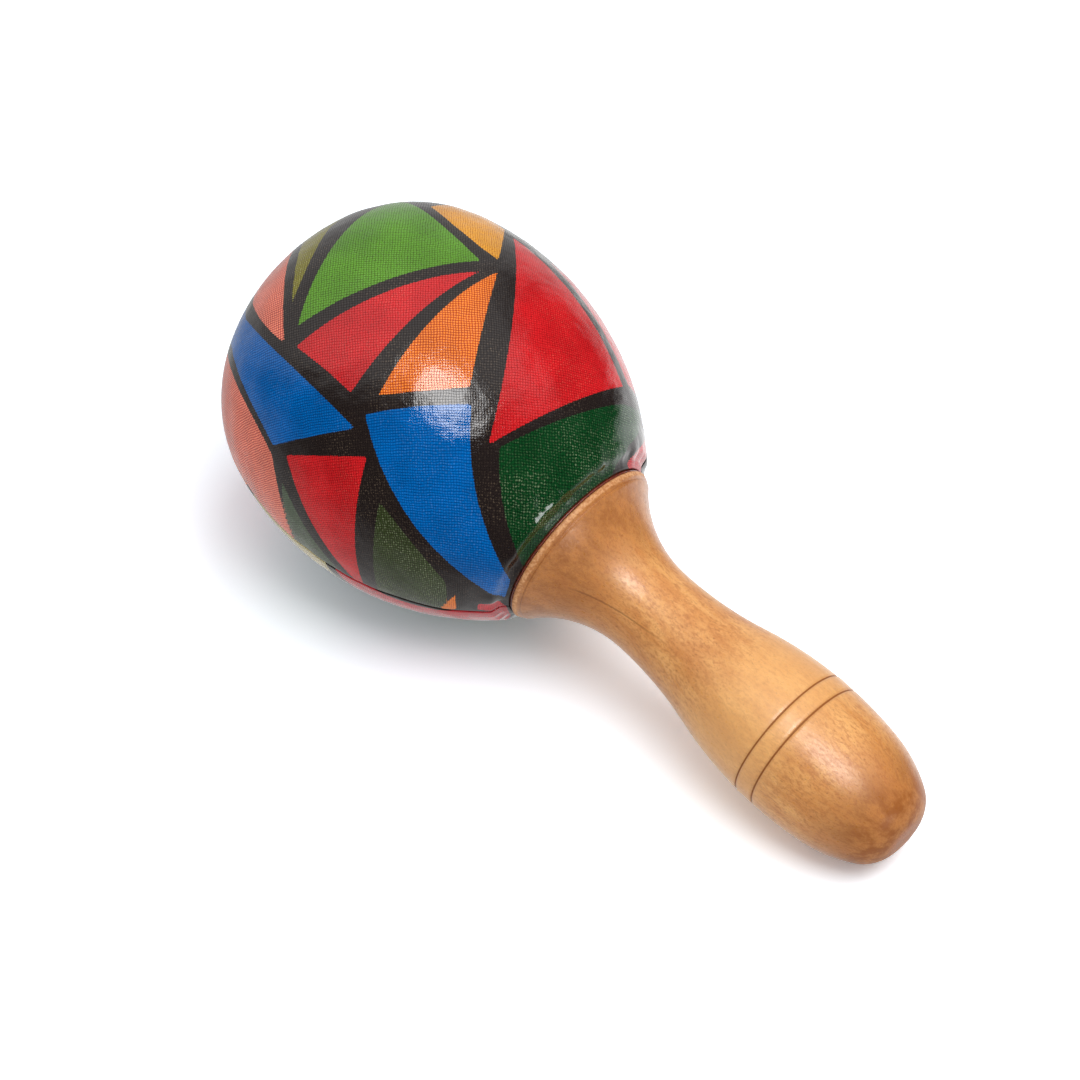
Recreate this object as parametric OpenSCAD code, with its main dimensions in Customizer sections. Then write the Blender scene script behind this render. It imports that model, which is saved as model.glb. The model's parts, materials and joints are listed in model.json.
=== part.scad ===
// Maraca: a cloth-covered rattle head on a turned wooden handle, lying at rest on the floor.
//
// Turned pieces are drawn about the turning axis, with the middle of the head's far-end curve
// at zero and +Z towards the handle. lay_down() then rests the whole on its head and knob.
// An outline point is [distance from the axis, height along the axis].
// A lean is the angle between an outline's outward normal and the handle's direction.

/* [Head] */
// Radius of the flattened far end
cap_r = 51.2; // [49:0.2:54]
// Lean where the far end turns into the shoulder
cap_lean = 152.3; // [148:0.1:157]
// Radius of the rounded shoulder
shoulder_r = 35.8; // [32:0.2:39]
// Lean where the shoulder turns into the long side
shoulder_lean = 107; // [102:0.5:112]
// Radius of the long side that narrows to the neck
side_r = 68.1; // [66:0.1:70]
// Thickness of the shell wall
shell_t = 3; // [2.4:0.1:4]
// Thickness of the lacquered cloth cover
cloth_t = 0.6; // [0.4:0.1:0.8]
// Rounding of the cover's fold above the neck
fold_r = 1.6; // [1.4:0.1:2]
// Height of the fold's start below the collar
fold_drop = 3.1; // [2.8:0.1:3.4]
// Lean of the tucked-in cloth below the fold
tuck_lean = 15; // [12:1:18]

/* [Seam] */
// Turn of the seam about the axis, from the underside
seam_turn = 108; // [90:1:130]
// Gap left between the two cover halves
seam_gap = 0.5; // [0.3:0.1:0.8]
// Height of the tongue that locates one shell half in the other
tongue_h = 1.6; // [1:0.1:2.4]
// Clearance round the tongue
tongue_gap = 0.1; // [0.05:0.05:0.2]

/* [Neck] */
// Height of the collar's face above the far end's middle
collar_z = 45.4; // [44.8:0.1:46]
// Radius of the collar's rim
rim_r = 21.95; // [21.6:0.05:22.6]
// Bevel on the collar's edge
rim_bevel = 0.4; // [0.2:0.1:0.6]
// Radius where the collar's land ends and the flare starts
land_end_r = 21.3; // [21:0.1:21.6]
// Radius of the spigot that plugs the head
spigot_r = 14.9; // [12:0.1:16]
// Length of the spigot inside the head
spigot_l = 9.4; // [8:0.1:11]
// Bevel on the spigot's end
spigot_bevel = 1; // [0.5:0.1:1.5]
// Radial gap round the spigot, filled with glue
glue_gap = 0.1; // [0.05:0.05:0.2]
// Radius of the shell's neck, under the binding
neck_r = 20.4; // [20:0.1:20.8]
// Thickness of the cloth binding round the neck
binding_t = 0.9; // [0.6:0.1:1]
// Gap between the binding and the cover's edge
binding_gap = 0.1; // [0.05:0.05:0.2]

/* [Handle] */
// Height of the waist above the far end's middle
waist_z = 69.6; // [68:0.1:71]
// Radius of the waist
waist_r = 11.3; // [10.5:0.1:12]
// Radius of the hollow that flares out to the collar
flare_r = 29.5; // [28:0.1:31]
// Radius of the hollow between the waist and the grip
swell_r = 91.3; // [85:0.1:98]
// Turn of that hollow, in degrees
swell_turn = 14.5; // [13.5:0.1:15.5]
// Radius of the grip's long bulge
belly_r = 97.7; // [92:0.1:104]
// Lean where the bulge turns into the knob
belly_lean = 81.6; // [80:0.1:83]
// Radius of the knob
knob_r = 35.4; // [32:0.1:38]
// Lean where the knob turns into its end
knob_lean = 59.6; // [57:0.1:62]
// Rounding of the knob's end
end_round_r = 9.9; // [9:0.1:10.6]
// Radius of the flat where the handle was cut from its blank
end_flat_r = 3.8; // [3.6:0.1:4.4]
// Distance of the first groove before the widest place
groove_before = 4.6; // [4:0.1:5.4]
// Distance of the second groove after the widest place
groove_after = 0.4; // [0.2:0.1:1]
// Width of the two burned grooves
groove_w = 0.7; // [0.4:0.1:1]
// Depth of the two burned grooves
groove_depth = 0.4; // [0.2:0.1:0.6]

/* [Seeds] */
// Radius of one seed
seed_r = 3; // [2.4:0.1:3]
// Distance between neighbouring seeds
seed_pitch = 6.3; // [6.2:0.1:6.6]
// Radius of the patch that the seeds' middles cover
seed_patch_r = 17.5; // [17.5:0.1:18.5]
// Air left between a resting seed and the wall
seed_gap = 0.1; // [0.05:0.05:0.2]

/* [Hidden] */
// How far an outline's straight steps may stray from the true curve
sag = 0.03;
// Extra length on cutting shapes
over = 1;
// Farther than any point of the head is from its middle
reach = 60;
wood = [0.80, 0.59, 0.37];
cloth_red = [0.74, 0.13, 0.14];
cloth_green = [0.10, 0.33, 0.16];
binding_red = [0.42, 0.10, 0.09];
pulp_brown = [0.62, 0.50, 0.36];
seed_brown = [0.30, 0.17, 0.09];

// A unit step away from the axis and along it, at a lean
function dir(lean) = [sin(lean), cos(lean)];
// The lean of a step
function lean_of(step) = atan2(step.x, step.y);
// Straight steps that an arc needs to stay within the sag
function steps(r, turn) = ceil(abs(turn) / (2 * acos(1 - sag / r)));
// The points of an arc after its first; a hollow arc has a negative radius
function arc(centre, r, from, to) =
    let (n = steps(abs(r), to - from))
    [for (i = [1:n]) centre + r * dir(from + (to - from) * i / n)];

// Centres of the head's arcs, each one smooth with the next
shoulder_c = (cap_r - shoulder_r) * dir(cap_lean);
side_c = shoulder_c + (shoulder_r - side_r) * dir(shoulder_lean);
fold_lean = acos((collar_z - fold_drop - side_c.y) / side_r);
fold_c = side_c + (side_r - fold_r) * dir(fold_lean);
wall_t = cloth_t + shell_t;
boss_z = collar_z - spigot_l;
binding_r = neck_r + binding_t;

// Centres of the handle's arcs, each one smooth with the next
flare_c = [waist_r + flare_r, waist_z];
flare_lean = asin((flare_c.x - land_end_r) / flare_r);
land_end_z = waist_z - flare_r * cos(flare_lean);
swell_c = [waist_r + swell_r, waist_z];
swell_lean = 90 + swell_turn;
belly_c = swell_c - (swell_r + belly_r) * dir(swell_lean);
knob_c = belly_c + (belly_r - knob_r) * dir(belly_lean);
end_c = knob_c + (knob_r - end_round_r) * dir(knob_lean);
end_lean = asin((end_flat_r - end_c.x) / end_round_r);
end_z = end_c.y + end_round_r * cos(end_lean);
grip_r = belly_c.x + belly_r;
groove_1_z = belly_c.y - groove_before;
groove_2_z = belly_c.y + groove_after;

// The head's side and the knob both touch the floor when the handle leans down this much
rest_span = knob_c - side_c;
tilt = asin((side_r - knob_r) / norm(rest_span)) - atan2(rest_span.x, rest_span.y);
rest_h = side_r + side_c.x * cos(tilt) + side_c.y * sin(tilt);
// The origin is on the floor, midway along the whole
mid_x = (end_round_r + end_c.y * cos(tilt) + end_c.x * sin(tilt) - cap_r) / 2;

// The head's outline, set in by a depth, down to a lean on its side
function head_arcs(depth, last_lean) = concat(
    [[0, depth - cap_r]],
    arc([0, 0], cap_r - depth, 180, cap_lean),
    arc(shoulder_c, shoulder_r - depth, cap_lean, shoulder_lean),
    arc(side_c, side_r - depth, shoulder_lean, last_lean));
// The same down to the boss that holds the spigot
function wall_outline(depth) =
    head_arcs(depth, acos((boss_z - side_c.y) / (side_r - depth)));
// The same with the fold and the tuck, down to a distance from the axis
function skin_outline(depth, last_r) =
    let (bend = arc(fold_c, fold_r - depth, fold_lean, tuck_lean), p = bend[len(bend) - 1])
    concat(head_arcs(depth, fold_lean), bend,
           [[last_r, p.y + (p.x - last_r) * tan(tuck_lean)]]);
function reversed(list) = [for (i = [len(list) - 1:-1:0]) list[i]];

// Seeds lie in upright columns, six round each one, about the cavity's lowest place
seed_x = side_c.y * cos(tilt) - side_c.x * sin(tilt);
seed_span = ceil(seed_patch_r / seed_pitch) + 1;
seed_places = [for (q = [-seed_span:seed_span]) for (p = [-seed_span:seed_span])
               let (place = [p + q / 2, q * sin(60)] * seed_pitch)
               if (norm(place) <= seed_patch_r) place + [seed_x, 0]];
// Distance from an inside point to the cavity's wall
function room(p) =
    let (along = p.x * cos(tilt) - p.z * sin(tilt))
    let (q = [sqrt(p * p - along * along), along])
    (lean_of(q - side_c) < shoulder_lean ? side_r - norm(q - side_c)
     : lean_of(q - shoulder_c) < cap_lean ? shoulder_r - norm(q - shoulder_c)
     : cap_r - norm(q)) - wall_t;
// Height at which a seed in one column comes to rest, by halving
function settle(place, low, high, n) =
    let (z = (low + high) / 2)
    n == 0 ? high
    : room([place.x, place.y, z]) > seed_r + seed_gap ? settle(place, low, z, n - 1)
    : settle(place, z, high, n - 1);
function seed_name(i) = str("seed_", floor(i / 10), i % 10);

module lay_down() {
    translate([-mid_x, 0, rest_h]) rotate([0, 90 + tilt, 0]) children();
}

// Half of a revolved outline, on the seam's upper or lower side
module half(points, upper) {
    rotate([0, 0, seam_turn + (upper ? 0 : 180)]) rotate_extrude(angle = 180, $fn = 120) polygon(points);
}

// The inner part of the wall, from one depth to another, in a slab that stands on the seam
module seam_ring(outer_depth, inner_depth, low, high) {
    rotate([0, 0, seam_turn]) intersection() {
        rotate_extrude($fn = 120)
            polygon(concat(wall_outline(outer_depth), reversed(wall_outline(inner_depth))));
        translate([-reach, low, -reach]) cube([2 * reach, high - low, 2 * reach]);
    }
}

module shell_half(upper) {
    half(concat(skin_outline(cloth_t, neck_r),
                [[neck_r, collar_z], [spigot_r + glue_gap, collar_z], [spigot_r + glue_gap, boss_z]],
                reversed(wall_outline(wall_t))), upper);
}

module cover_half(upper) {
    difference() {
        half(concat(skin_outline(0, binding_r),
                    reversed(skin_outline(cloth_t, binding_r - cloth_t * sin(tuck_lean)))), upper);
        rotate([0, 0, seam_turn])
            translate([-reach, -seam_gap / 2, -reach]) cube([2 * reach, seam_gap, 2 * reach]);
    }
}

// A V groove round a turned piece, w wide at radius r
module groove(r, z, w, depth) {
    rotate_extrude($fn = 120) polygon([[r - depth, z], [r + depth, z - w], [r + depth, z + w]]);
}

module handle() {
    color(wood) lay_down() difference() {
        union() {
            rotate_extrude($fn = 120) polygon(concat(
                [[0, boss_z], [spigot_r - spigot_bevel, boss_z], [spigot_r, boss_z + spigot_bevel],
                 [spigot_r, collar_z], [rim_r - rim_bevel, collar_z], [rim_r, collar_z + rim_bevel],
                 [land_end_r, land_end_z]],
                arc(flare_c, -flare_r, flare_lean, 90),
                arc(swell_c, -swell_r, 90, swell_lean),
                arc(belly_c, belly_r, swell_lean, belly_lean),
                arc(knob_c, knob_r, belly_lean, knob_lean),
                arc(end_c, end_round_r, knob_lean, end_lean),
                [[0, end_z]]));
            translate([0, 0, groove_1_z]) cylinder(h = groove_2_z - groove_1_z, r = grip_r, $fn = 120);
        }
        groove(land_end_r, land_end_z, groove_w, groove_depth);
        groove(grip_r, groove_1_z, groove_w, groove_depth);
        groove(grip_r, groove_2_z, groove_w, groove_depth);
    }
}

module shell_upper() {
    color(pulp_brown) lay_down() difference() {
        shell_half(true);
        seam_ring(cloth_t + shell_t / 2 - tongue_gap, wall_t + over, -over, tongue_h + tongue_gap);
    }
}

module shell_lower() {
    color(pulp_brown) lay_down() union() {
        shell_half(false);
        seam_ring(cloth_t + shell_t / 2, wall_t, 0, tongue_h);
    }
}

module cover_upper() {
    color(cloth_red) lay_down() cover_half(true);
}

module cover_lower() {
    color(cloth_green) lay_down() cover_half(false);
}

module neck_binding() {
    cover_edge = skin_outline(0, binding_r);
    low = cover_edge[len(cover_edge) - 1].y + binding_gap;
    color(binding_red) lay_down() translate([0, 0, low]) difference() {
        cylinder(h = collar_z - low, r = binding_r, $fn = 120);
        translate([0, 0, -over]) cylinder(h = collar_z - low + 2 * over, r = neck_r, $fn = 120);
    }
}

module seed(i) {
    place = seed_places[i - 1];
    color(seed_brown) translate([place.x - mid_x, place.y, rest_h + settle(place, -reach, 0, 30)])
        sphere(r = seed_r, $fn = 32);
}

handle();
shell_upper();
shell_lower();
cover_upper();
cover_lower();
neck_binding();
for (i = [1:len(seed_places)]) seed(i);
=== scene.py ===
"""Looks of a maraca: a turned wooden handle and a round head covered in printed, lacquered cloth.

Lengths are in millimetres along and round the maraca's own axis unless a name says otherwise:
"along" runs from the far end of the head (0 at the centre of the far end's arc) to the knob,
"radius" is the distance from the axis, and "roll" is the turn about it, 0 at the top.
"""

import json
import math

import bpy
import numpy as np
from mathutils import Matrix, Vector


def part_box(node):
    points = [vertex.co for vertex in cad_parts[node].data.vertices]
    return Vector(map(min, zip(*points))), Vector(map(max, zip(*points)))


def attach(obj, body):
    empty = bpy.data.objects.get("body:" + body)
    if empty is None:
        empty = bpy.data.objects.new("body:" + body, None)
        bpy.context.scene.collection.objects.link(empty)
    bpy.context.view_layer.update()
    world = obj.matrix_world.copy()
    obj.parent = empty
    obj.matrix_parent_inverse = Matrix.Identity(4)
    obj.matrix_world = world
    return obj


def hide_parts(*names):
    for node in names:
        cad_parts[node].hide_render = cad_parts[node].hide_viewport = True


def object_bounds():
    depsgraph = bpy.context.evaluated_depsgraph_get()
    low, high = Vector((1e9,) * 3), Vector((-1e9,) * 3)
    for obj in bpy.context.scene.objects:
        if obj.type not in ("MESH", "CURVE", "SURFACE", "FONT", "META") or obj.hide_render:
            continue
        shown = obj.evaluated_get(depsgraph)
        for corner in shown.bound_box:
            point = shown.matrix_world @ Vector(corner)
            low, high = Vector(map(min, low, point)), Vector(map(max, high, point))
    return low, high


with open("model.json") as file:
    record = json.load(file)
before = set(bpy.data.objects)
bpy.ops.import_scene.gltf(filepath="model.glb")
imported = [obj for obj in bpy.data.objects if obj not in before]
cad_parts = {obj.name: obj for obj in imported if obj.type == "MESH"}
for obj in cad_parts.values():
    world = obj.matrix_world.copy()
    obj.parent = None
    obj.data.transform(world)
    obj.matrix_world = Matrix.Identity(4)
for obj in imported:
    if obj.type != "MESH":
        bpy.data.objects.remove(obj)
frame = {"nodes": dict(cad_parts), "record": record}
cad_low, cad_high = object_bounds()

MM = 0.001
GRIP_MIDDLE = 114.82  # along, halfway between the two burned grooves
GROOVES = (112.32, 117.32)
LAND_END = 47.46  # along, the fine line that ends the land on the collar's rim
PALE_END = 46.9  # along, how far the land is bare of lacquer
HANDLE_END = 148.81

SCRATCH_START = 55.8  # along, where a faint scratch on the flare begins
SCRATCH_ROLL = math.radians(-65.0)  # roll of its beginning
SCRATCH_SLANT = 0.0124  # how fast it turns round the handle, radians per millimetre

SPLIT_ROLL = 72.0  # the head's seam plane holds the axis and leans this far from upright
UPPER_ROLL = SPLIT_ROLL - 90.0
LOWER_ROLL = SPLIT_ROLL + 90.0
SEAM_HALF_GAP = 0.25
CLOTH = 0.5  # thickness of the cloth
GATHER_START = 39.0  # along, where the cloth begins to pucker toward the neck
FOLD = 42.5  # along, the ridge where the cloth turns in to the neck
GATHER_END = 44.9  # along, where the puckers are pressed flat against the collar
NECK_SKIN = 23.0  # radius; nearer the axis than this the cloth follows its lapped edge
LAPPED_EDGE = [(43.75, 22.75), (44.25, 22.15), (44.75, 21.92)]  # over the binding, almost to the collar
CUT_ROUND = 0.6  # width of the rounding along the cut edges of the cloth
CUT_DROP = 0.3  # how far a cut edge sinks
BINDING_ENDS = (43.97, 45.36)  # along
BINDING_INSIDE = 20.46  # radius
SEED_SHAPE = (1.0, 0.94, 0.9)  # a seed's three widths as shares of the ball it fits in
CHART_CENTRE = -4.0  # along, the point the cloth pattern is measured from
CHART_SCALE = 44.0  # millimetres of pattern per radian round that point


# ---------------------------------------------------------------- the maraca's own axis

def axis_frame():
    """Origin, axis, upward radius and sideways radius of the turned parts, in the row frame."""
    grip = frame["record"]["mounts"][0]
    along = np.array(grip["axis"], float)
    along = along / np.linalg.norm(along)
    origin = np.array(grip["pos_m"], float) - along * GRIP_MIDDLE * MM
    up = np.array([-along[2], 0.0, along[0]])
    side = np.array([0.0, 1.0, 0.0])
    return origin, along, up, side


ORIGIN, ALONG, UP, SIDE = axis_frame()


def place(along, radius, roll):
    """Points in the row frame, in metres, from axis coordinates in millimetres and degrees."""
    along, radius, roll = np.broadcast_arrays(along, radius, np.radians(roll))
    across = radius[..., None] * (np.cos(roll)[..., None] * UP + np.sin(roll)[..., None] * SIDE)
    return ORIGIN + (along[..., None] * ALONG + across) * MM


def axis_place(points):
    """Along, upward and sideways distances in millimetres of points given in metres."""
    reach = (points - ORIGIN) / MM
    return np.stack([reach @ ALONG, reach @ UP, reach @ SIDE], -1)


def outline_points(node):
    """The [along, radius] points a turned CAD node was made from, near doubles counted once."""
    mesh = frame["nodes"][node].data
    spots = np.zeros(len(mesh.vertices) * 3, np.float32)
    mesh.vertices.foreach_get("co", spots)
    own = axis_place(spots.reshape(-1, 3).astype(float))
    pairs = np.stack([own[:, 0], np.hypot(own[:, 1], own[:, 2])], 1)
    found, count = np.unique(np.round(pairs, 2), axis=0, return_counts=True)
    kept = []
    for point in found[count >= 8]:
        if not any(np.linalg.norm(point - other) < 0.05 for other in kept):
            kept.append(point)
    return np.array(kept)


# ---------------------------------------------------------------- paths and meshes

def turn_at(before, here, after):
    """Degrees that a path turns at a point."""
    first = here - before
    second = after - here
    cross = first[0] * second[1] - first[1] * second[0]
    return abs(math.degrees(math.atan2(cross, first @ second)))


def smooth_path(points, step, sharp=13.0, ease=0.13):
    """A finely stepped path through the points: smooth curves, with small chamfers at sharp corners."""
    points = [np.array(p, float) for p in points]
    inner = range(1, len(points) - 1)
    corner = [True] + [turn_at(*points[i - 1:i + 2]) > sharp for i in inner] + [True]
    path = [points[0]]
    for i in range(len(points) - 1):
        here, there = points[i], points[i + 1]
        length = np.linalg.norm(there - here)
        lead = (here - points[i - 1]) if not corner[i] else (there - here)
        tail = (points[i + 2] - there) if not corner[i + 1] else (there - here)
        lead = lead / np.linalg.norm(lead) + (there - here) / length
        tail = tail / np.linalg.norm(tail) + (there - here) / length
        lead = lead / np.linalg.norm(lead) * length
        tail = tail / np.linalg.norm(tail) * length
        start = min(ease / length, 0.3) if corner[i] and i else 0.0
        stop = 1.0 - min(ease / length, 0.3) if corner[i + 1] and i + 2 < len(points) else 1.0
        count = max(1, round(length / step))
        for t in np.linspace(start, stop, count + 1)[0 if start else 1:]:
            square, cube = t * t, t * t * t
            path.append(
                (2 * cube - 3 * square + 1) * here + (cube - 2 * square + t) * lead
                + (3 * square - 2 * cube) * there + (cube - square) * tail
            )
    return np.array(path)


def add_mesh(name, points, faces, body="maraca"):
    """A smooth-shaded piece that rides on a body, with its faces turned outward."""
    mesh = bpy.data.meshes.new(name)
    mesh.from_pydata(points.tolist(), [], faces)
    mesh.update()
    mesh.calc_loop_triangles()
    corners = np.array([t.vertices[:] for t in mesh.loop_triangles])
    a, b, c = points[corners[:, 0]], points[corners[:, 1]], points[corners[:, 2]]
    if np.einsum("ij,ij->i", a - points[0], np.cross(b - points[0], c - points[0])).sum() < 0:
        mesh.flip_normals()
    mesh.shade_smooth()
    piece = bpy.data.objects.new(name, mesh)
    bpy.context.scene.collection.objects.link(piece)
    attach(piece, body)
    return piece


def add_vector(piece, name, values):
    """Stores three numbers at each vertex for the materials to read."""
    layer = piece.data.attributes.new(name, "FLOAT_VECTOR", "POINT")
    layer.data.foreach_set("vector", np.asarray(values, np.float32).ravel())


def turned_piece(name, path, segments, wobble=None):
    """A solid turned about the axis from a path that begins and ends on it."""
    inner = path[1:-1]
    roll = np.arange(segments) * 360.0 / segments
    along, turn = np.meshgrid(inner[:, 0], roll, indexing="ij")
    radius = np.repeat(inner[:, 1:2], segments, 1)
    if wobble:
        radius = radius + wobble(along, turn)
    points = place(along, radius, turn).reshape(-1, 3)
    ends = place(path[[0, -1], 0], np.zeros(2), np.zeros(2))
    points = np.concatenate([points, ends])
    first, last = len(points) - 2, len(points) - 1
    faces = []
    for ring in range(len(inner) - 1):
        base = ring * segments
        for k in range(segments):
            after = (k + 1) % segments
            faces.append((base + k, base + after, base + segments + after, base + segments + k))
    base = (len(inner) - 1) * segments
    for k in range(segments):
        after = (k + 1) % segments
        faces.append((first, after, k))
        faces.append((last, base + k, base + after))
    piece = add_mesh(name, points, faces)
    add_vector(piece, "own_place", axis_place(points))
    return piece


def turned_ring(name, path, segments, wobble=None):
    """A closed ring turned about the axis from a closed path that stays clear of it."""
    roll = np.arange(segments) * 360.0 / segments
    along, turn = np.meshgrid(path[:, 0], roll, indexing="ij")
    radius = np.repeat(path[:, 1:2], segments, 1)
    if wobble:
        radius = radius + wobble(along, turn)
    points = place(along, radius, turn).reshape(-1, 3)
    faces = []
    for ring in range(len(path)):
        base = ring * segments
        above = (ring + 1) % len(path) * segments
        for k in range(segments):
            after = (k + 1) % segments
            faces.append((base + k, base + after, above + after, above + k))
    piece = add_mesh(name, points, faces)
    add_vector(piece, "own_place", axis_place(points))
    return piece


def ripple(turn, counts, shift=0.0):
    """An uneven wave round the axis, about 1 high, made of a few whole numbers of waves."""
    angle = np.radians(turn)
    total = sum(np.sin(n * angle + 1.7 * n + shift * (i + 1)) for i, n in enumerate(counts))
    return total / math.sqrt(len(counts))


# ---------------------------------------------------------------- the printed pattern

PLAIN, DOTTED, LINED, GLINTING = (0, 0, 0), (1, 0, 0), (0, 1, 0), (0, 0, 1)
RED, PINK, CREAM = (206, 31, 36), (194, 38, 48), (206, 198, 146)
BLUE, GREEN, DARK_GREEN = (0, 99, 176), (88, 148, 30), (13, 64, 29)
ORANGE, AMBER, SALMON = (247, 131, 30), (228, 158, 24), (252, 142, 110)
OLIVE, DARK_OLIVE, GREY = (128, 124, 20), (54, 66, 34), (74, 90, 64)

# Each panel: colour, finish, then its corners as (u, v, bulge of the edge to the next corner).
# u runs along the axis and v round it, both from the middle of the half; bulge is to the left.
UPPER_PANELS = [
    (OLIVE, GLINTING, [
        (-28.5, -11.5, -0.6), (-47, 4.5, 0.3), (-60, 14, 0), (-51.5, 29.5, 0.5), (-42.5, 11.5, 0.9),
    ]),
    (SALMON, DOTTED, [
        (-23.5, -19.5, -0.5), (-45, -1, -0.4), (-63, 10, 0), (-66, -6, 0), (-45, -16, -0.8),
    ]),
    (GREEN, PLAIN, [(-23, -14.5, 0.4), (-4.5, 27.5, 0.8), (-42, 33, -1.2)]),
    (AMBER, PLAIN, [(-2.5, 32, 1.4), (-29, 34, 0.5), (-31, 51, 0.5), (-14.5, 49, 0.2)]),
    (RED, PLAIN, [(-20, -18.5, 1.3), (-2, 24.5, -1), (-1.5, -18.5, -0.2)]),
    (ORANGE, DOTTED, [(0.5, 28.5, -1.7), (4, -14.5, -0.3), (17.5, 1, 0.2)]),
    (RED, PLAIN, [(-9.5, 47, 2.1), (29, -5, 0.7), (41, 36.5, -4)]),
    (PINK, PLAIN, [(1, 53, 1.8), (42, 40.5, 0), (46.8, 44.8, 0), (44, 49, -0.5), (16, 62, 0)]),
    (DARK_GREEN, GLINTING, [
        (31, -3.5, 0.8), (43.5, 31, 0), (50.5, 41, 0), (52, 32, 0), (50.8, 24, 0), (52.5, 15, 0),
        (54, -17.5, 2.3),
    ]),
    (PINK, PLAIN, [(56, 36, 0), (54, 27, 0), (54.6, 21.5, 0), (61, 19, 0), (63, 27, 0), (59, 36, 0)]),
    (BLUE, LINED, [
        (-43, -20.5, -0.4), (4.5, -24, 0.2), (-12.5, -42, -0.5), (-43, -29, 0.3), (-62, -25, 0),
        (-65, -13, 0),
    ]),
    (BLUE, LINED, [(4.5, -20, 0.3), (20.5, -1.5, -3.9), (55, -22.5, 0), (59, -27, 7.5)]),
    (SALMON, DOTTED, [
        (-43.5, -32, 1), (-12, -44.5, 1.1), (2.5, -71, 0), (-16, -71, 0), (-42, -58, 0), (-60, -38, 0),
        (-62, -30, 0.4),
    ]),
    (RED, PLAIN, [(-7.5, -41.5, -0.3), (11, -27, -1.7), (33, -64, 3.1)]),
    (DARK_OLIVE, GLINTING, [(20, -33, -0.2), (44.5, -36, 1.2), (52, -45.5, 0), (38.5, -62.5, 1)]),
    (GREY, PLAIN, [(-6, -49, -1.7), (29, -67, 3.1), (4.5, -71, 0.8)]),
    (ORANGE, PLAIN, [(52, -46, 0), (49.5, -37, 0), (54.5, -41.5, 0)]),
    (PINK, PLAIN, [(55.5, -34, 0), (58.5, -29.5, 0), (63, -29, 0), (57.5, -36, 0)]),
    (BLUE, LINED, [(-34.5, 38, 0.5), (-47.5, 36.5, 0), (-47, 49, 0), (-35, 58, 0.5)]),
    (GREEN, PLAIN, [(-10.5, 54.5, 0.5), (-30, 55.5, 0), (-33, 64, 0), (-6, 73, 0)]),
    (ORANGE, DOTTED, [(-1, 58.5, 0), (12, 65.5, 0), (10, 73, 0), (-1, 73, 0)]),
    (AMBER, PLAIN, [(17, 66.5, 0), (53, 47, 0), (50, 56, 0), (22, 72, 0)]),
]
LOWER_PANELS = [
    (PINK, PLAIN, [(19, 74, 0), (66, 31, 0), (53.5, 23.5, 0.8), (23, 50.5, 0)]),
    (CREAM, GLINTING, [(15.5, 75, 0), (18, 50.5, -0.8), (-14, 52.5, 0), (-25, 71, 0)]),
    (ORANGE, DOTTED, [(-29, 70, 0), (-18.5, 49.5, 1), (-45, 31, 0), (-61, 44, 0)]),
    (GREY, PLAIN, [(19.5, 46.5, 1), (50, 21, -1), (40, 3, 1.2), (8, 18, 0.5)]),
    (DARK_OLIVE, GLINTING, [(14.5, 45.5, 0.5), (3.5, 19, -1), (-22, 26, 0), (-14.5, 47.5, 1)]),
    (RED, PLAIN, [(-19, 44.5, 0.7), (-26, 23.5, -1), (-51, 10, 0), (-46.5, 26.5, 1)]),
    (RED, PLAIN, [(36, 0, 1), (6, 13.5, 0.6), (-2, -12, 0.8), (28, -22, 0)]),
    (SALMON, DOTTED, [(2, 14.5, -0.7), (-23.5, 21, 0), (-30.5, -4.5, 1), (-6.5, -11, 0)]),
    (DARK_GREEN, GLINTING, [(-28, 19, 0.6), (-53, 6, 0), (-56, -16, 0), (-34.5, -6, 0.8)]),
    (AMBER, PLAIN, [(53, 12, 0), (43.5, 0, 1), (33, -24, 0), (56.5, -28, 0)]),
    (BLUE, LINED, [(27, -26, 0.8), (-3, -15.5, 0), (-10, -41, 1), (16, -52, 0)]),
    (RED, PLAIN, [(31.5, -28, 0.5), (20.5, -54, 0), (46, -56, 0), (57, -33, 0)]),
    (ORANGE, DOTTED, [(-8, -14.5, 0), (-32, -9, 1), (-40, -32, 0), (-15, -40.5, 0.9)]),
    (GREEN, PLAIN, [(-36.5, -11, 0), (-56.5, -20.5, 0), (-50, -44, 0), (-43.5, -34, 0.8)]),
    (PINK, PLAIN, [(12.5, -54.5, 0.6), (-13, -44, 0), (-20, -68, 0), (10, -74, 0)]),
    (OLIVE, GLINTING, [(-18, -44.5, 1), (-41, -36.5, 0), (-47, -50, 0), (-26, -68, 0)]),
]


def chart_place(points, middle_roll):
    """Pattern coordinates (u, v) of points on one half of the head."""
    own = axis_place(points) - [CHART_CENTRE, 0.0, 0.0]
    own = own / np.linalg.norm(own, axis=1)[:, None]
    roll = math.radians(middle_roll)
    height = own[:, 1] * math.cos(roll) + own[:, 2] * math.sin(roll)
    round_way = own[:, 2] * math.cos(roll) - own[:, 1] * math.sin(roll)
    reach = np.hypot(own[:, 0], round_way) + 1e-9
    angle = np.arccos(np.clip(height, -1, 1)) * CHART_SCALE
    return np.stack([angle * own[:, 0] / reach, angle * round_way / reach], 1)


def panel_edge(corners, steps=10):
    """The panel's outline as short straight steps, each edge bowed by its bulge."""
    outline = []
    for i, (u, v, bulge) in enumerate(corners):
        start = np.array([u, v], float)
        stop = np.array(corners[(i + 1) % len(corners)][:2], float)
        run = stop - start
        left = np.array([-run[1], run[0]]) / np.linalg.norm(run)
        for k in range(steps):
            t = k / steps
            outline.append(start + run * t + left * bulge * 4 * t * (1 - t))
    return np.array(outline)


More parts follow.
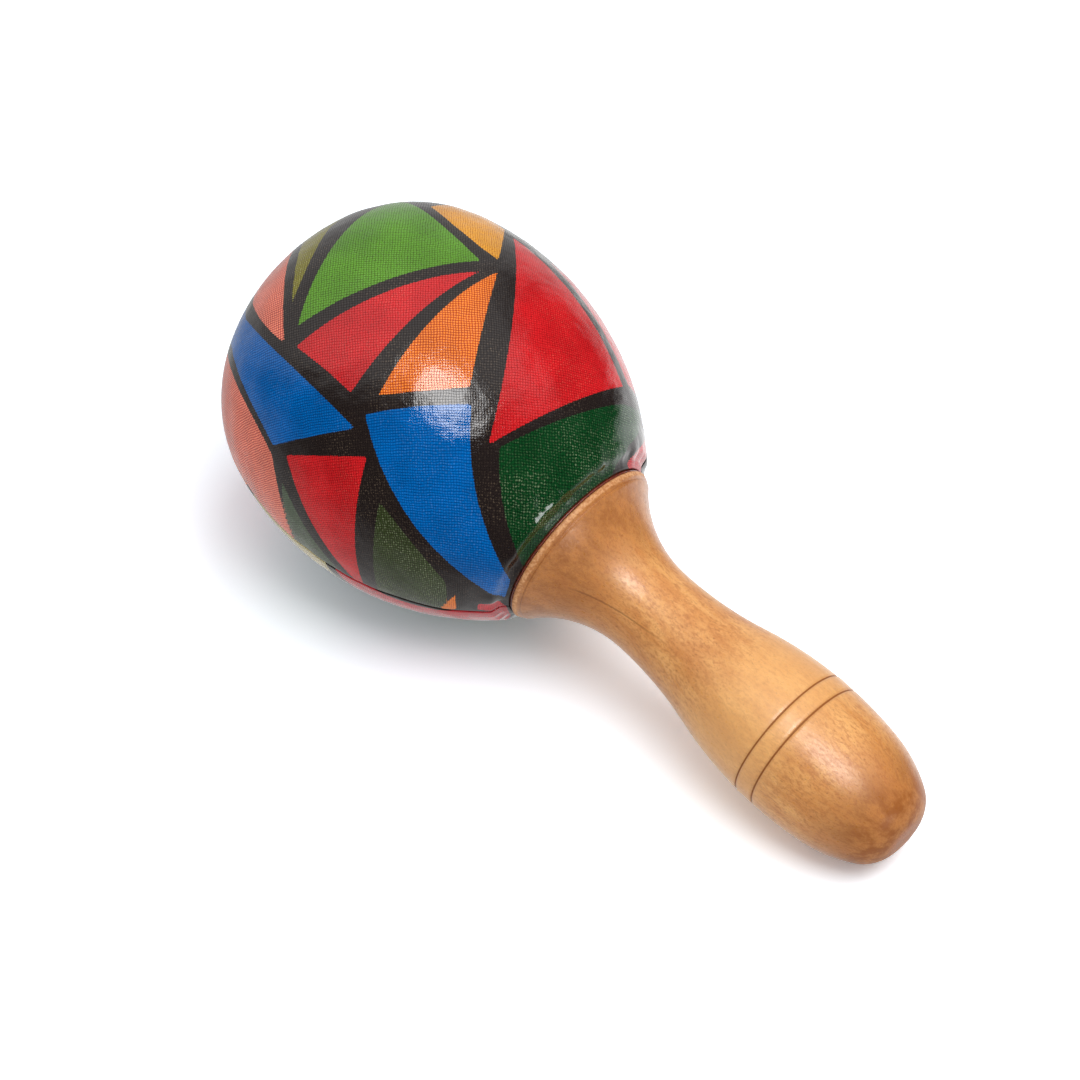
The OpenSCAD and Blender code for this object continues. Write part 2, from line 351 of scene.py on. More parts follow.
def panel_margin(spots, corners):
    """Distance from each spot to the panel's edge, above zero inside it."""
    edge = panel_edge(corners)
    nearest = np.full(len(spots), 1e9)
    inside = np.zeros(len(spots), bool)
    for start, stop in zip(edge, np.roll(edge, -1, 0)):
        run = stop - start
        t = np.clip((spots - start) @ run / (run @ run), 0, 1)
        nearest = np.minimum(nearest, np.linalg.norm(spots - start - t[:, None] * run, axis=1))
        crosses = (start[1] > spots[:, 1]) != (stop[1] > spots[:, 1])
        if run[1]:
            reach = start[0] + (spots[:, 1] - start[1]) / run[1] * run[0]
            inside ^= crosses & (spots[:, 0] < reach)
    return np.where(inside, nearest, -nearest)


def light_value(channel):
    """Linear light of a screen colour's channel, 0 to 255."""
    share = channel / 255
    return share / 12.92 if share <= 0.04045 else ((share + 0.055) / 1.055) ** 2.4


def paint(red, green, blue):
    """A material colour from screen colour values."""
    return (light_value(red), light_value(green), light_value(blue), 1.0)


def print_pattern(piece, points, middle_roll, panels):
    """Stores where each vertex lies in the pattern, its panel's colour and finish, and its margin."""
    spots = chart_place(points, middle_roll)
    margin = np.full(len(spots), -1e9)
    colour = np.zeros((len(spots), 3))
    finish = np.zeros((len(spots), 3))
    for shade, kind, corners in panels:
        own = panel_margin(spots, corners)
        closer = own > margin
        margin[closer] = own[closer]
        colour[closer] = paint(*shade)[:3]
        finish[closer] = kind
    add_vector(piece, "chart", np.column_stack([spots, margin]))
    add_vector(piece, "panel_colour", colour)
    add_vector(piece, "panel_finish", finish)


# ---------------------------------------------------------------- pieces of the maraca

def handle_piece():
    """The turned handle: spigot, collar with a pale land, flare, waist, knob and two grooves."""
    found = outline_points("handle")
    found = found[np.lexsort((found[:, 1], found[:, 0]))]
    points = [(found[0, 0], 0.0)] + [tuple(p) for p in found] + [(found[-1, 0], 0.0)]
    path = smooth_path(drop_straight(points), 0.8)

    def lathe_marks(along, turn):
        marks = np.sin(along * 2.9) + np.sin(along * 4.7 + 1.3)
        return 0.006 * marks * np.clip((along - 49) / 6, 0, 1)

    piece = turned_piece("turned_handle", path, 192, lathe_marks)
    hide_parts("handle")
    return piece


def drop_straight(points):
    """The points without those that lie on a straight line between their neighbours."""
    kept = [points[0]]
    for i in range(1, len(points) - 1):
        before, here, after = (np.array(p, float) for p in (kept[-1], points[i], points[i + 1]))
        if turn_at(before, here, after) > 0.7:
            kept.append(points[i])
    return kept + [points[-1]]


def skin_path():
    """The outside of the cloth from the far end to the neck, as a fine path of [along, radius]."""
    found = outline_points("cover_upper")
    angle = np.degrees(np.arctan2(found[:, 1], found[:, 0] - CHART_CENTRE))
    reach = np.hypot(found[:, 1], found[:, 0] - CHART_CENTRE)
    # a point with another one farther out in the same direction is on the inside of the cloth
    same_way = np.abs(angle[:, None] - angle[None, :]) < 0.5
    covered = same_way & (reach[None, :] > reach[:, None] + 0.7 * CLOTH)
    outer = ~covered.any(1)
    outer = found[outer][np.argsort(-angle[outer])]
    outer = outer[outer[:, 1] > 1.0]
    tip = (outer[0, 0] - 0.012, 0.0)
    points = [tip] + [tuple(p) for p in outer if p[0] < 0 or p[1] > NECK_SKIN] + LAPPED_EDGE
    return smooth_path(drop_straight(points), 0.72, sharp=50.0)


def seam_drift(along, near_side):
    """How far the seam wanders from its plane, towards the upper half."""
    fade = np.clip((along + 50) / 12, 0, 1) * np.clip((43 - along) / 10, 0, 1)
    phase = 0.4 if near_side else 2.1
    wave = 0.55 * np.sin(along * 0.11 + phase) + 0.3 * np.sin(along * 0.27 + 2 * phase)
    return (wave + 0.12 * np.sin(along * 0.83 + phase)) * fade


def edge_columns():
    """Shares of the way round a half, close together near both cut edges."""
    close = np.array([0.0, 0.0012, 0.003, 0.006, 0.0105])
    middle = np.linspace(0.016, 0.984, 170)
    return np.concatenate([close, middle, 1 - close[::-1]])


def cover_rows(path, middle_roll, side_sign):
    """Each row's roll angles from seam to seam, and how near each point is to a cut edge, 0 to 1."""
    share = edge_columns()
    radius = path[:, 1]
    limits = []
    for side in (-1, 1):
        drift = seam_drift(path[:, 0], side * side_sign < 0)
        level = SEAM_HALF_GAP + side_sign * drift
        limits.append(side * np.degrees(np.arccos(np.clip(level / radius, -1, 1))))
    width = (limits[1] - limits[0])[:, None]
    turn = middle_roll + limits[0][:, None] + width * share
    to_edge = np.minimum(share, 1 - share) * np.radians(width) * radius[:, None]
    return turn, np.clip(1 - to_edge / CUT_ROUND, 0, 1)


def cloth_lift(along, radius, turn, near_cut):
    """How far the cloth stands off its smooth shape: puckers at the neck, slack, sunken cut edges."""
    gather = np.clip((along - GATHER_START) / (FOLD - GATHER_START), 0, 1) ** 2
    gather = gather * np.clip((GATHER_END - along) / 1.4, 0.2, 1)
    pucker = gather * (0.10 * ripple(turn, (13, 21, 31)) + 0.015 * ripple(turn, (67, 89), 0.5))
    slack = 0.05 * ripple(turn + along * 3, (5, 9, 14)) * np.sin(along * 0.21 + 1)
    drop = CUT_DROP * (1 - np.sqrt(1 - near_cut ** 2))
    return pucker + slack * np.clip(radius / 20, 0, 1) - drop


def cover_piece(name, node, middle_roll, panels):
    """One half of the printed cloth cover: outside, inside, cut edges along the seam and the neck."""
    path = skin_path()
    first = SEAM_HALF_GAP * 1.05
    path = path[path[:, 1] > first]
    path = np.concatenate([[[path[0, 0] - 0.004, first]], path])
    run = np.gradient(path, axis=0)
    run = run / np.linalg.norm(run, axis=1)[:, None]
    turn, near_cut = cover_rows(path, middle_roll, 1 if node == "cover_upper" else -1)
    along = path[:, :1]
    radius = path[:, 1:]
    out_along = -run[:, 1:]
    out_radius = run[:, :1]
    lift = cloth_lift(along, radius, turn, near_cut)
    outside = place(along + out_along * lift, radius + out_radius * lift, turn)
    inside = place(along - out_along * CLOTH, radius - out_radius * CLOTH, turn)
    points = np.concatenate([outside.reshape(-1, 3), inside.reshape(-1, 3)])
    piece = add_mesh(name, points, grid_faces(*turn.shape))
    print_pattern(piece, points, middle_roll, panels)
    add_vector(piece, "own_place", axis_place(points))
    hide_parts(node)
    return piece


def grid_faces(rows, columns):
    """Faces of two matching grids, one over the other, joined round their borders."""
    under = rows * columns
    faces = []
    for i in range(rows - 1):
        for j in range(columns - 1):
            a = i * columns + j
            b = a + columns
            faces.append((a, a + 1, b + 1, b))
            faces.append((a + under, b + under, b + 1 + under, a + 1 + under))
    border = list(range(columns))
    border += [i * columns + columns - 1 for i in range(1, rows)]
    border += [(rows - 1) * columns + j for j in range(columns - 2, -1, -1)]
    border += [i * columns for i in range(rows - 2, 0, -1)]
    for a, b in zip(border, border[1:] + border[:1]):
        faces.append((b, a, a + under, b + under))
    return faces


def binding_piece():
    """The thin dark red cloth binding between the cover's edge and the collar."""
    low, high = BINDING_ENDS
    outside = [(low, 21.2), (44.75, 21.25), (44.95, 21.6), (45.2, 21.6), (high, 21.3)]
    points = [(low, BINDING_INSIDE)] + outside + [(high, BINDING_INSIDE)]
    path = smooth_path(points + points[:1], 0.3, sharp=40.0, ease=0.08)[:-1]

    def fray(along, turn):
        return np.where(along > 44.85, 0.07 * ripple(turn, (23, 37, 61)), 0.0)

    piece = turned_ring("neck_binding_cloth", path, 256, fray)
    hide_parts("neck_binding")
    return piece


def unit_ball(rings, segments):
    """Points and faces of a ball of radius 1, with one point at each pole."""
    points = []
    for i in range(rings + 1):
        lean = math.pi * i / rings
        for k in range(segments if 0 < i < rings else 1):
            turn = 2 * math.pi * k / segments
            reach = math.sin(lean)
            points.append((reach * math.cos(turn), reach * math.sin(turn), math.cos(lean)))
    faces = []
    last = 1 + (rings - 2) * segments
    for k in range(segments):
        after = (k + 1) % segments
        faces.append((0, 1 + k, 1 + after))
        faces.append((len(points) - 1, last + after, last + k))
        for i in range(rings - 2):
            base = 1 + i * segments
            faces.append((base + k, base + segments + k, base + segments + after, base + after))
    return np.array(points), faces


def seed_piece(number):
    """One dried seed: a ball gone slightly oval and wrinkled, with a small scar at one pole."""
    node = f"seed_{number:02d}"
    low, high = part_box(node)
    centre = np.array((low + high) / 2)
    radius = (high - low).length / 2 / math.sqrt(3)
    ball, faces = unit_ball(18, 28)
    waves = np.sin(ball @ [5.1, 3.3, 2.7] + number)
    wrinkle = waves * np.sin(ball @ [2.2, -4.9, 3.9] + 2.3 * number)
    scar = np.exp(-((ball - [0, 0, 1]) ** 2).sum(1) / 0.05)
    size = radius * (0.965 + 0.022 * wrinkle - 0.05 * scar)
    x, y, z = (ball * SEED_SHAPE).T
    turn = 2.4 * number
    cos, sin = math.cos(turn), math.sin(turn)
    spun = np.stack([x, y * cos - z * sin, y * sin + z * cos], 1)
    piece = add_mesh(f"dried_seed_{number:02d}", centre + spun * size[:, None], faces, node)
    add_vector(piece, "own_place", ball + number)
    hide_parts(node)
    return piece


# ---------------------------------------------------------------- material helpers

def new_material(name):
    """A material with one Principled surface; returns it with its node tree and surface node."""
    material = bpy.data.materials.new(name)
    material.use_nodes = True
    tree = material.node_tree
    return material, tree, tree.nodes["Principled BSDF"]


def node(tree, kind, inputs=None, **settings):
    """Adds a node; inputs may be plain values or other nodes' outputs."""
    made = tree.nodes.new(kind)
    for key, value in settings.items():
        setattr(made, key, value)
    for key, value in (inputs or {}).items():
        if isinstance(value, bpy.types.NodeSocket):
            tree.links.new(value, made.inputs[key])
        else:
            made.inputs[key].default_value = value
    return made


def calc(tree, operation, first, second=0.0, third=0.0):
    """One step of arithmetic."""
    return node(tree, "ShaderNodeMath", {0: first, 1: second, 2: third}, operation=operation).outputs[0]


def spread(tree, value, low, high, to_low=0.0, to_high=1.0):
    """Maps a value smoothly from one range to another, held at the ends."""
    inputs = {0: value, 1: low, 2: high, 3: to_low, 4: to_high}
    return node(tree, "ShaderNodeMapRange", inputs, interpolation_type="SMOOTHSTEP").outputs[0]


def blend_colour(tree, share, first, second, way="MIX"):
    """Mixes two colours."""
    inputs = {0: share, 6: first, 7: second}
    return node(tree, "ShaderNodeMix", inputs, data_type="RGBA", blend_type=way).outputs[2]


def noise(tree, where, scale, detail=2.0, rough=0.5):
    """Soft noise from 0 to 1."""
    inputs = {"Vector": where, "Scale": scale, "Detail": detail, "Roughness": rough}
    return node(tree, "ShaderNodeTexNoise", inputs).outputs["Fac"]


def stored(tree, name):
    """The three numbers stored at each vertex under a name."""
    return node(tree, "ShaderNodeAttribute", attribute_name=name).outputs["Vector"]


def parts_of(tree, vector):
    """The three numbers of a vector."""
    return node(tree, "ShaderNodeSeparateXYZ", {0: vector}).outputs


def vector_of(tree, x, y, z):
    """A vector from three numbers."""
    return node(tree, "ShaderNodeCombineXYZ", {0: x, 1: y, 2: z}).outputs[0]


def stretched(tree, vector, scales):
    """The vector scaled by three numbers."""
    return node(tree, "ShaderNodeVectorMath", {0: vector, 1: scales}, operation="MULTIPLY").outputs[0]


def dot_product(tree, vector, direction):
    """How far a vector reaches along a fixed direction."""
    inputs = {0: vector, 1: tuple(direction)}
    return node(tree, "ShaderNodeVectorMath", inputs, operation="DOT_PRODUCT").outputs["Value"]


def bumps(tree, height, depth_mm, under=None):
    """A surface normal bent by a height from 0 to 1."""
    inputs = {"Height": height, "Distance": depth_mm * MM, "Strength": 1.0}
    if under is not None:
        inputs["Normal"] = under
    return node(tree, "ShaderNodeBump", inputs).outputs[0]


def connect(tree, surface, inputs):
    """Sets the surface node's inputs."""
    for key, value in inputs.items():
        if isinstance(value, bpy.types.NodeSocket):
            tree.links.new(value, surface.inputs[key])
        else:
            surface.inputs[key].default_value = value


# ---------------------------------------------------------------- materials

WEAVE = 0.62  # thread pitch of the printed cloth
FLOODED = (36.0, 41.0)  # along, where the lacquer begins to flood the threads and where it is level
INK = paint(35, 28, 27)
# the black ink's colour at its painted glints, where the lacquer on its thread crowns catches light
INK_GLINT = paint(118, 102, 84)
COLLAR_STAIN = (70.0, 50.0)  # along, where the collar's dark stain begins and where it is full
KNOB_STAIN = (126.0, 146.0)
DRY_TIP = (136.0, 148.0)  # along, where the lacquer thins on the knob


def weave_height(tree, chart):
    """Height of the crossing threads, which run at 45 degrees to the axis, and of one set alone."""
    u, v, _ = parts_of(tree, chart)
    drift = calc(tree, "MULTIPLY", calc(tree, "SUBTRACT", noise(tree, chart, 0.25), 0.5), 1.2)
    first = calc(tree, "ADD", calc(tree, "ADD", u, v), drift)
    second = calc(tree, "SUBTRACT", calc(tree, "SUBTRACT", u, v), drift)
    pace = math.pi / WEAVE / math.sqrt(2)
    one = calc(tree, "ABSOLUTE", calc(tree, "COSINE", calc(tree, "MULTIPLY", first, pace)))
    two = calc(tree, "ABSOLUTE", calc(tree, "COSINE", calc(tree, "MULTIPLY", second, pace)))
    crown = calc(tree, "POWER", calc(tree, "MULTIPLY", one, two), 0.7)
    return crown, two


def painted_thread_glints(tree, spot, thread, crown):
    """Painted glints: pale flecks on the thread crowns where lacquer catches light, denser in some zones.
    """
    zone = noise(tree, spot, 0.07, 1.0)
    sparkle = calc(tree, "MULTIPLY", spread(tree, thread, 0.45, 0.68), spread(tree, crown, 0.3, 0.9))
    return calc(tree, "MULTIPLY", sparkle, spread(tree, zone, 0.4, 0.62, 0.25, 1.0))


def panel_colour_with_glints(tree, spot, thread, crown, lines, sparkle):
    """The panel's colour: darker in the hollows of the weave, cloudy, paler at its painted glints."""
    base = stored(tree, "panel_colour")
    dots, lined, glints = parts_of(tree, stored(tree, "panel_finish"))
    darker = blend_colour(tree, 1.0, base, (0.46, 0.24, 0.34, 1), "MULTIPLY")
    # painted glint: the colour lifted towards white where the lacquer on a crown catches light
    paler = blend_colour(tree, 1.0, base, (0.13, 0.14, 0.09, 1), "ADD")
    hollow = calc(tree, "SUBTRACT", 1.0, crown)
    dot_share = calc(tree, "MULTIPLY", dots, spread(tree, hollow, 0.3, 0.65, 0.0, 1.0))
    line_share = calc(tree, "MULTIPLY", lined, spread(tree, lines, 0.75, 0.1, 0.0, 0.6))
    glint_share = calc(tree, "MULTIPLY", sparkle, calc(tree, "ADD", glints, 0.35))
    uneven = spread(tree, thread, 0.3, 0.7, 0.2, 0.9)
    plain_share = calc(tree, "MULTIPLY", spread(tree, hollow, 0.25, 0.7), uneven)
    plain_share = calc(tree, "MULTIPLY", plain_share, spread(tree, lined, 0.0, 1.0, 1.0, 0.45))
    colour = blend_colour(tree, dot_share, base, darker)
    colour = blend_colour(tree, line_share, colour, darker)
    colour = blend_colour(tree, plain_share, colour, darker)
    colour = blend_colour(tree, glint_share, colour, paler)
    tone = spread(tree, noise(tree, spot, 0.09, 3.0, 0.55), 0.3, 0.7, 0.86, 1.1)
    return blend_colour(tree, 1.0, colour, vector_of(tree, tone, tone, tone), "MULTIPLY")


def printed_share(tree, margin, fibre, crown):
    """1 on a panel and 0 on the black bars, with an edge frayed by the threads."""
    fuzz = calc(tree, "MULTIPLY", calc(tree, "SUBTRACT", fibre, 0.5), 0.4)
    thready = calc(tree, "MULTIPLY", calc(tree, "SUBTRACT", crown, 0.45), 0.16)
    step = calc(tree, "ADD", calc(tree, "ADD", margin, fuzz), thready)
    return spread(tree, step, -0.07, 0.07)


def cloth_material(name):
    """Printed cotton under thick lacquer: coloured panels between black bars, threads showing."""
    material, tree, surface = new_material(name)
    chart = stored(tree, "chart")
    margin = parts_of(tree, chart)[2]
    spot = stretched(tree, chart, (1.0, 1.0, 0.0))
    crown, lines = weave_height(tree, spot)
    fibre = noise(tree, spot, 2.3, 3.0, 0.6)
    thread = noise(tree, spot, 1.7, 2.0, 0.7)
    sparkle = painted_thread_glints(tree, spot, thread, crown)
    dyed_with_glints = panel_colour_with_glints(tree, spot, thread, crown, lines, sparkle)
    # painted glints: the black ink turns paler on the glinting thread crowns
    ink_with_glints = blend_colour(tree, calc(tree, "MULTIPLY", sparkle, 0.5), INK, INK_GLINT)

    # the lacquer floods the threads near the fold, and is duller past it
    along = parts_of(tree, stored(tree, "own_place"))[0]
    flooded = spread(tree, along, *FLOODED)
    open_weave = calc(tree, "SUBTRACT", 1.0, calc(tree, "MULTIPLY", flooded, 0.95))
    threads = calc(tree, "ADD", crown, calc(tree, "MULTIPLY", fibre, 2.5))
    threads = calc(tree, "MULTIPLY", threads, open_weave)
    filled = calc(tree, "MAXIMUM", crown, flooded)
    dull = spread(tree, along, FOLD + 0.4, FOLD + 1.2, 0.0, 0.3)

    soft = bumps(tree, noise(tree, spot, 0.16, 2.0), 0.3)
    connect(tree, surface, {
        "Base Color": blend_colour(tree, printed_share(tree, margin, fibre, crown), ink_with_glints, dyed_with_glints),
        "Roughness": spread(tree, fibre, 0.3, 0.7, 0.42, 0.6),
        "Specular IOR Level": 0.0,
        "Normal": bumps(tree, crown, 0.12, soft),
        "Coat Weight": spread(tree, filled, 0.1, 0.6, 0.4, 1.0),
        "Coat Roughness": calc(tree, "ADD", dull, spread(tree, fibre, 0.3, 0.75, 0.05, 0.12)),
        "Coat IOR": 1.5,
        "Coat Normal": bumps(tree, threads, 0.012, soft),
    })
    return material


def lathe_wood(tree, along, cloud, streak, fine, fleck):
    """Honey-coloured wood, stained dark at both ends, and painted paler in the middle of the grip as a
    sheen.
    """
    honey = blend_colour(tree, spread(tree, streak, 0.32, 0.68), paint(204, 136, 70), paint(226, 166, 98))
    colour = blend_colour(tree, spread(tree, cloud, 0.46, 0.7, 0, 0.6), honey, paint(182, 110, 50))
    colour = blend_colour(tree, spread(tree, fine, 0.42, 0.68, 0, 0.62), colour, paint(168, 98, 44))
    colour = blend_colour(tree, spread(tree, fleck, 0.6, 0.72, 0, 0.45), colour, paint(126, 68, 28))
    to_collar = spread(tree, along, *COLLAR_STAIN, 0.0, 0.85)
    to_tip = spread(tree, along, *KNOB_STAIN)
    patchy = spread(tree, streak, 0.35, 0.62, 0.45, 1.0)
    stained = calc(tree, "MULTIPLY", calc(tree, "ADD", to_collar, to_tip), patchy)
    colour = blend_colour(tree, stained, colour, paint(150, 84, 28))
    # painted sheen: the middle of the grip is painted paler, standing in for a broad soft highlight
    painted_sheen = spread(tree, along, 126.0, 112.0, 0.0, 0.45)
    painted_sheen = calc(tree, "MULTIPLY", spread(tree, along, 86.0, 104.0), painted_sheen)
    return blend_colour(tree, painted_sheen, colour, paint(240, 184, 116))


def scratch_share(tree, own, fleck):
    """One long faint scratch that winds slowly along the flare."""
    along, up, side = parts_of(tree, own)
    roll = calc(tree, "ARCTAN2", side, up)
    slant = calc(tree, "MULTIPLY_ADD", along, SCRATCH_SLANT, SCRATCH_ROLL - SCRATCH_SLANT * SCRATCH_START)
    off = calc(tree, "ABSOLUTE", calc(tree, "SUBTRACT", roll, slant))
    off = calc(tree, "ADD", off, calc(tree, "MULTIPLY", calc(tree, "SUBTRACT", fleck, 0.5), 0.05))
    line = spread(tree, off, 0.008, 0.026, 1.0, 0.0)
    begins = spread(tree, along, 53.0, 58.0)
    ends = spread(tree, along, 81.0, 70.0, 0.0, 0.5)
    return calc(tree, "MULTIPLY", calc(tree, "MULTIPLY", line, begins), ends)


def bare_land(tree, along, fine):
    """1 on the land of the collar's rim, which was left unlacquered, with a ragged edge."""
    ragged = calc(tree, "MULTIPLY", calc(tree, "SUBTRACT", fine, 0.5), 0.9)
    past_land = calc(tree, "SUBTRACT", calc(tree, "ADD", along, ragged), PALE_END)
    return spread(tree, past_land, -0.25, 0.1, 1.0, 0.0)


def burned_share(tree, along):
    """The two burned grooves with a faint scorched edge, and the fine line beside the land."""
    line_away = calc(tree, "ABSOLUTE", calc(tree, "SUBTRACT", along, LAND_END + 0.05))
    burn = spread(tree, line_away, 0.05, 0.25, 0.3, 0.0)
    for groove in GROOVES:
        away = calc(tree, "ABSOLUTE", calc(tree, "SUBTRACT", along, groove))
        dark = spread(tree, away, 0.1, 0.36, 1.0, 0.0)
        scorch = spread(tree, away, 0.2, 1.0, 0.2, 0.0)
        burn = calc(tree, "MAXIMUM", burn, calc(tree, "MAXIMUM", dark, scorch))
    return burn


def wood_material():
    """Turned wood under satin lacquer, with its land, scratch, burned grooves and end grain."""
    material, tree, surface = new_material("turned_wood")
    own = stored(tree, "own_place")
    along = parts_of(tree, own)[0]
    cloud = noise(tree, stretched(tree, own, (0.5, 1.0, 1.0)), 0.06, 4.0, 0.6)
    streak = noise(tree, stretched(tree, own, (0.25, 1.0, 1.0)), 0.3, 5.0, 0.66)
    fine = noise(tree, stretched(tree, own, (0.45, 1.0, 1.0)), 1.5, 4.0, 0.7)
    fleck = noise(tree, stretched(tree, own, (0.4, 1.0, 1.0)), 2.6, 2.0, 0.6)
    colour = lathe_wood(tree, along, cloud, streak, fine, fleck)
    colour = blend_colour(tree, scratch_share(tree, own, fleck), colour, paint(104, 54, 24))

    land = bare_land(tree, along, fine)
    mottle = spread(tree, noise(tree, own, 1.6, 3.0), 0.35, 0.65)
    pale = blend_colour(tree, mottle, paint(178, 118, 72), paint(216, 162, 114))
    colour = blend_colour(tree, calc(tree, "MULTIPLY", land, 0.85), colour, pale)

    burn = burned_share(tree, along)
    colour = blend_colour(tree, calc(tree, "MULTIPLY", burn, 0.85), colour, paint(128, 66, 20))

    end = spread(tree, along, HANDLE_END - 0.25, HANDLE_END - 0.05)
    end_tone = blend_colour(tree, spread(tree, fleck, 0.42, 0.66), paint(176, 108, 62), paint(138, 76, 42))
    colour = blend_colour(tree, calc(tree, "MULTIPLY", end, 0.7), colour, end_tone)

    dry_tip = spread(tree, along, *DRY_TIP, 0.0, 0.7)
    bare = calc(tree, "MAXIMUM", calc(tree, "MAXIMUM", land, burn), dry_tip)
    skin = bumps(tree, fine, 0.045, bumps(tree, streak, 0.06))
    connect(tree, surface, {
        "Base Color": colour,
        "Roughness": spread(tree, fine, 0.3, 0.7, 0.42, 0.55),
        "Normal": skin,
        "Specular IOR Level": 0.2,
        "Coat Weight": spread(tree, bare, 0.0, 1.0, 0.9, 0.05),
        "Coat Roughness": spread(tree, fine, 0.3, 0.7, 0.26, 0.38),
        "Coat IOR": 1.45,
        "Coat Normal": skin,
        "Subsurface Weight": 0.04,
        "Subsurface Radius": (0.9, 0.4, 0.15),
        "Subsurface Scale": 0.001,
    })
    return material


def binding_material():
    """Dark red cotton tape soaked in lacquer."""
    material, tree, surface = new_material("red_cloth")
    own = stored(tree, "own_place")
    fibre = noise(tree, own, 2.6, 3.0, 0.6)
    colour = blend_colour(tree, spread(tree, fibre, 0.3, 0.7), paint(70, 22, 14), paint(142, 58, 34))
    connect(tree, surface, {
        "Base Color": colour,
        "Roughness": 0.5,
        "Coat Weight": 0.6,
        "Coat Roughness": 0.2,
        "Normal": bumps(tree, fibre, 0.08),
    })
    return material


def pulp_material():
    """Moulded paper pulp: grey-brown fibres, with painted shade that darkens it along the seam."""
    material, tree, surface = new_material("pulp")
    where = node(tree, "ShaderNodeTexCoord").outputs["Object"]
    fibre = noise(tree, where, 900.0, 4.0, 0.65)
    clump = noise(tree, where, 140.0, 3.0, 0.5)
    roll = math.radians(UPPER_ROLL)
    plane = math.cos(roll) * UP + math.sin(roll) * SIDE
    reach = dot_product(tree, where, plane)
    away = calc(tree, "ABSOLUTE", calc(tree, "SUBTRACT", reach, float(plane @ ORIGIN)))
    colour = blend_colour(tree, spread(tree, fibre, 0.35, 0.65), paint(128, 106, 80), paint(168, 146, 114))
    colour = blend_colour(tree, spread(tree, clump, 0.45, 0.7, 0, 0.5), colour, paint(104, 84, 62))
    # painted shade: nearly black along the seam, standing in for the shade down in the gap between the
    # cover halves
    colour = blend_colour(tree, spread(tree, away, 0.0008, 0.003, 0.92, 0.0), colour, paint(22, 16, 13))
    connect(tree, surface, {
        "Base Color": colour,
        "Roughness": 0.9,
        "Normal": bumps(tree, calc(tree, "ADD", fibre, clump), 0.12),
    })
    return material


def seed_material():
    """Dry brown seed coat with paler speckles."""
    material, tree, surface = new_material("seed_coat")
    own = stored(tree, "own_place")
    speckle = noise(tree, own, 6.0, 3.0, 0.6)
    patch = noise(tree, own, 1.3, 2.0)
    colour = blend_colour(tree, spread(tree, patch, 0.35, 0.65), paint(92, 54, 28), paint(142, 92, 50))
    colour = blend_colour(tree, spread(tree, speckle, 0.6, 0.72, 0, 0.6), colour, paint(190, 150, 96))
    connect(tree, surface, {
        "Base Color": colour,
        "Roughness": spread(tree, speckle, 0.3, 0.7, 0.45, 0.65),
        "Normal": bumps(tree, speckle, 0.05),
    })
    return material


# ---------------------------------------------------------------- studio

VIEW_TURN = 43.26  # degrees round from looking along +Y
VIEW_HEIGHT = 49.02
VIEW_DISTANCE = 1.5  # metres
VIEW_LENS = 214.3
AIM = (-18.67, 3.74, -24.9)  # from the middle of the object's box
AMBIENT = 0.64  # strength of the even light from all round
KEY_POWER = 12.0
SOFTBOX_POWER = 6.4
SIDE_CARD_POWER = 1.3
FLOOR_WHITE = (0.86, 0.89, 0.93, 1)  # the floor as the object's underside is lit by it
FLOOR_SEEN = (1.38, 1.46, 1.54, 1)  # the floor as the camera sees it, burned out to white


def view_direction():
    """Unit vector from the object to the camera."""
    turn, height = math.radians(VIEW_TURN), math.radians(VIEW_HEIGHT)
    level = math.cos(height)
    return Vector((math.sin(turn) * level, -math.cos(turn) * level, math.sin(height)))


def picture_direction(right, up, toward):
    """Unit vector given by how far it points right, up and toward the viewer in the picture."""
    back = view_direction()
    side = Vector((math.cos(math.radians(VIEW_TURN)), math.sin(math.radians(VIEW_TURN)), 0))
    rise = back.cross(side)
    return (side * right + rise * up + back * toward).normalized()


def add_camera(target):
    """The camera that matches the view of the object."""
    data = bpy.data.cameras.new("camera")
    data.lens = VIEW_LENS
    data.sensor_width = 36.0
    data.clip_end = 20.0
    camera = bpy.data.objects.new("camera", data)
    bpy.context.scene.collection.objects.link(camera)
    camera.location = target + view_direction() * VIEW_DISTANCE
    camera.rotation_mode = "QUATERNION"
    camera.rotation_quaternion = (-view_direction()).to_track_quat("-Z", "Y")
    bpy.context.scene.camera = camera


def add_light(name, target, direction, distance, size, power, glossy=True, diffuse=True):
    """A square soft light aimed at the target."""
    data = bpy.data.lights.new(name, "AREA")
    data.size = size
    data.energy = power
    light = bpy.data.objects.new(name, data)
    bpy.context.scene.collection.objects.link(light)
    light.location = target + direction * distance
    light.rotation_mode = "QUATERNION"
    light.rotation_quaternion = (-direction).to_track_quat("-Z", "Y")
    light.visible_glossy = glossy
    light.visible_diffuse = diffuse
    light.visible_camera = False
    return light


def add_floor():
    """A plain white sweep under the object."""
    half = 4.0
    points = np.array([(-half, -half, 0), (half, -half, 0), (half, half, 0), (-half, half, 0)], float)
    mesh = bpy.data.meshes.new("floor")
    mesh.from_pydata(points.tolist(), [], [(0, 1, 2, 3)])
    floor = bpy.data.objects.new("floor", mesh)
    bpy.context.scene.collection.objects.link(floor)
    floor.visible_glossy = False
    material, tree, surface = new_material("floor_white")
    seen = node(tree, "ShaderNodeLightPath").outputs["Is Camera Ray"]
    white = blend_colour(tree, seen, FLOOR_WHITE, FLOOR_SEEN)
    matt = node(tree, "ShaderNodeBsdfDiffuse", {"Color": white})
    tree.links.new(matt.outputs[0], tree.nodes["Material Output"].inputs["Surface"])
    tree.nodes.remove(surface)
    mesh.materials.append(material)


